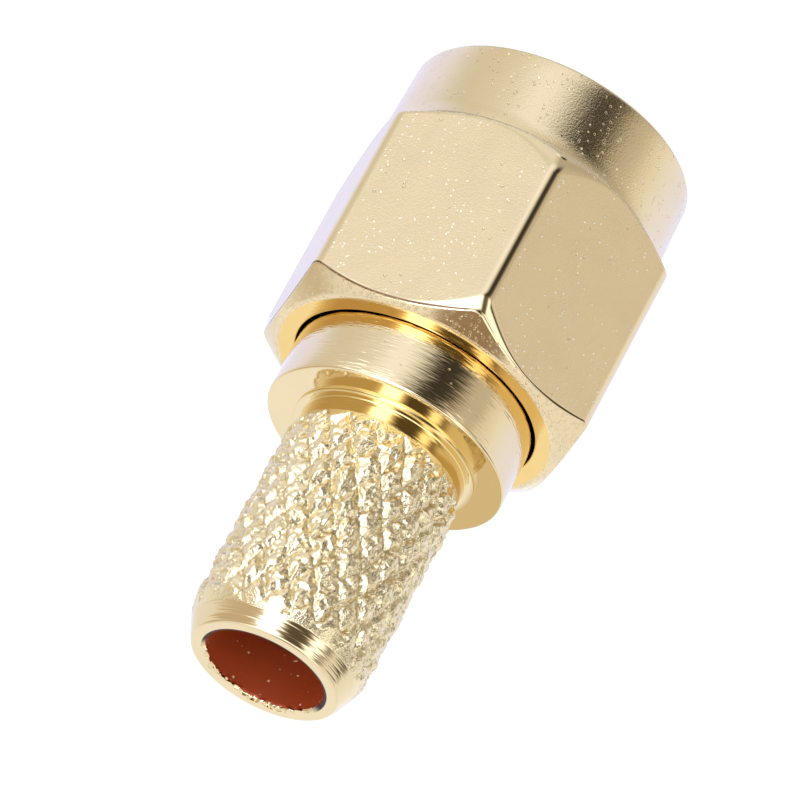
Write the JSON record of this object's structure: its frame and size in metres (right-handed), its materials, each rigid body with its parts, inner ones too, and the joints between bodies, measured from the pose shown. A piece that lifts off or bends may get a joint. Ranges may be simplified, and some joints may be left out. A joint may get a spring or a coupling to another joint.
{
  "type": "coaxial crimp plug",
  "caption": "Threaded coaxial plug with a captive hex coupling nut, a grooved shank and a hollow diamond-knurled crimp stem.",
  "frame": {"origin": "centre of the coupling nut's front face, on the plug's axis", "axes": "+Z along the plug's axis towards the cable end; +X and -X are normal to two opposite flats of the nut at rest"},
  "size_m": [0.008, 0.0092, 0.0171],
  "materials": {
    "nut_plating": "satin pale gold plating over brass",
    "body_plating": "bright pale gold plating over turned brass",
    "ring_bronze": "bare phosphor bronze",
    "gasket_silicone": "matt silicone",
    "insulator_white": "waxy white fluoropolymer",
    "contact_plating": "bright gold plating"
  },
  "bodies": {
    "connector": {"connector_body": "body_plating", "retaining_ring": "ring_bronze", "gasket": "gasket_silicone", "insulator": "insulator_white", "centre_contact": "contact_plating"},
    "nut": {"coupling_nut": "nut_plating"}
  },
  "joints": [
    {"name": "nut_spin", "type": "hinge", "parent": "connector", "child": "nut", "pos_m": [0, 0, 0.005], "axis": [0, 0, 1], "continuous": true}
  ]
}
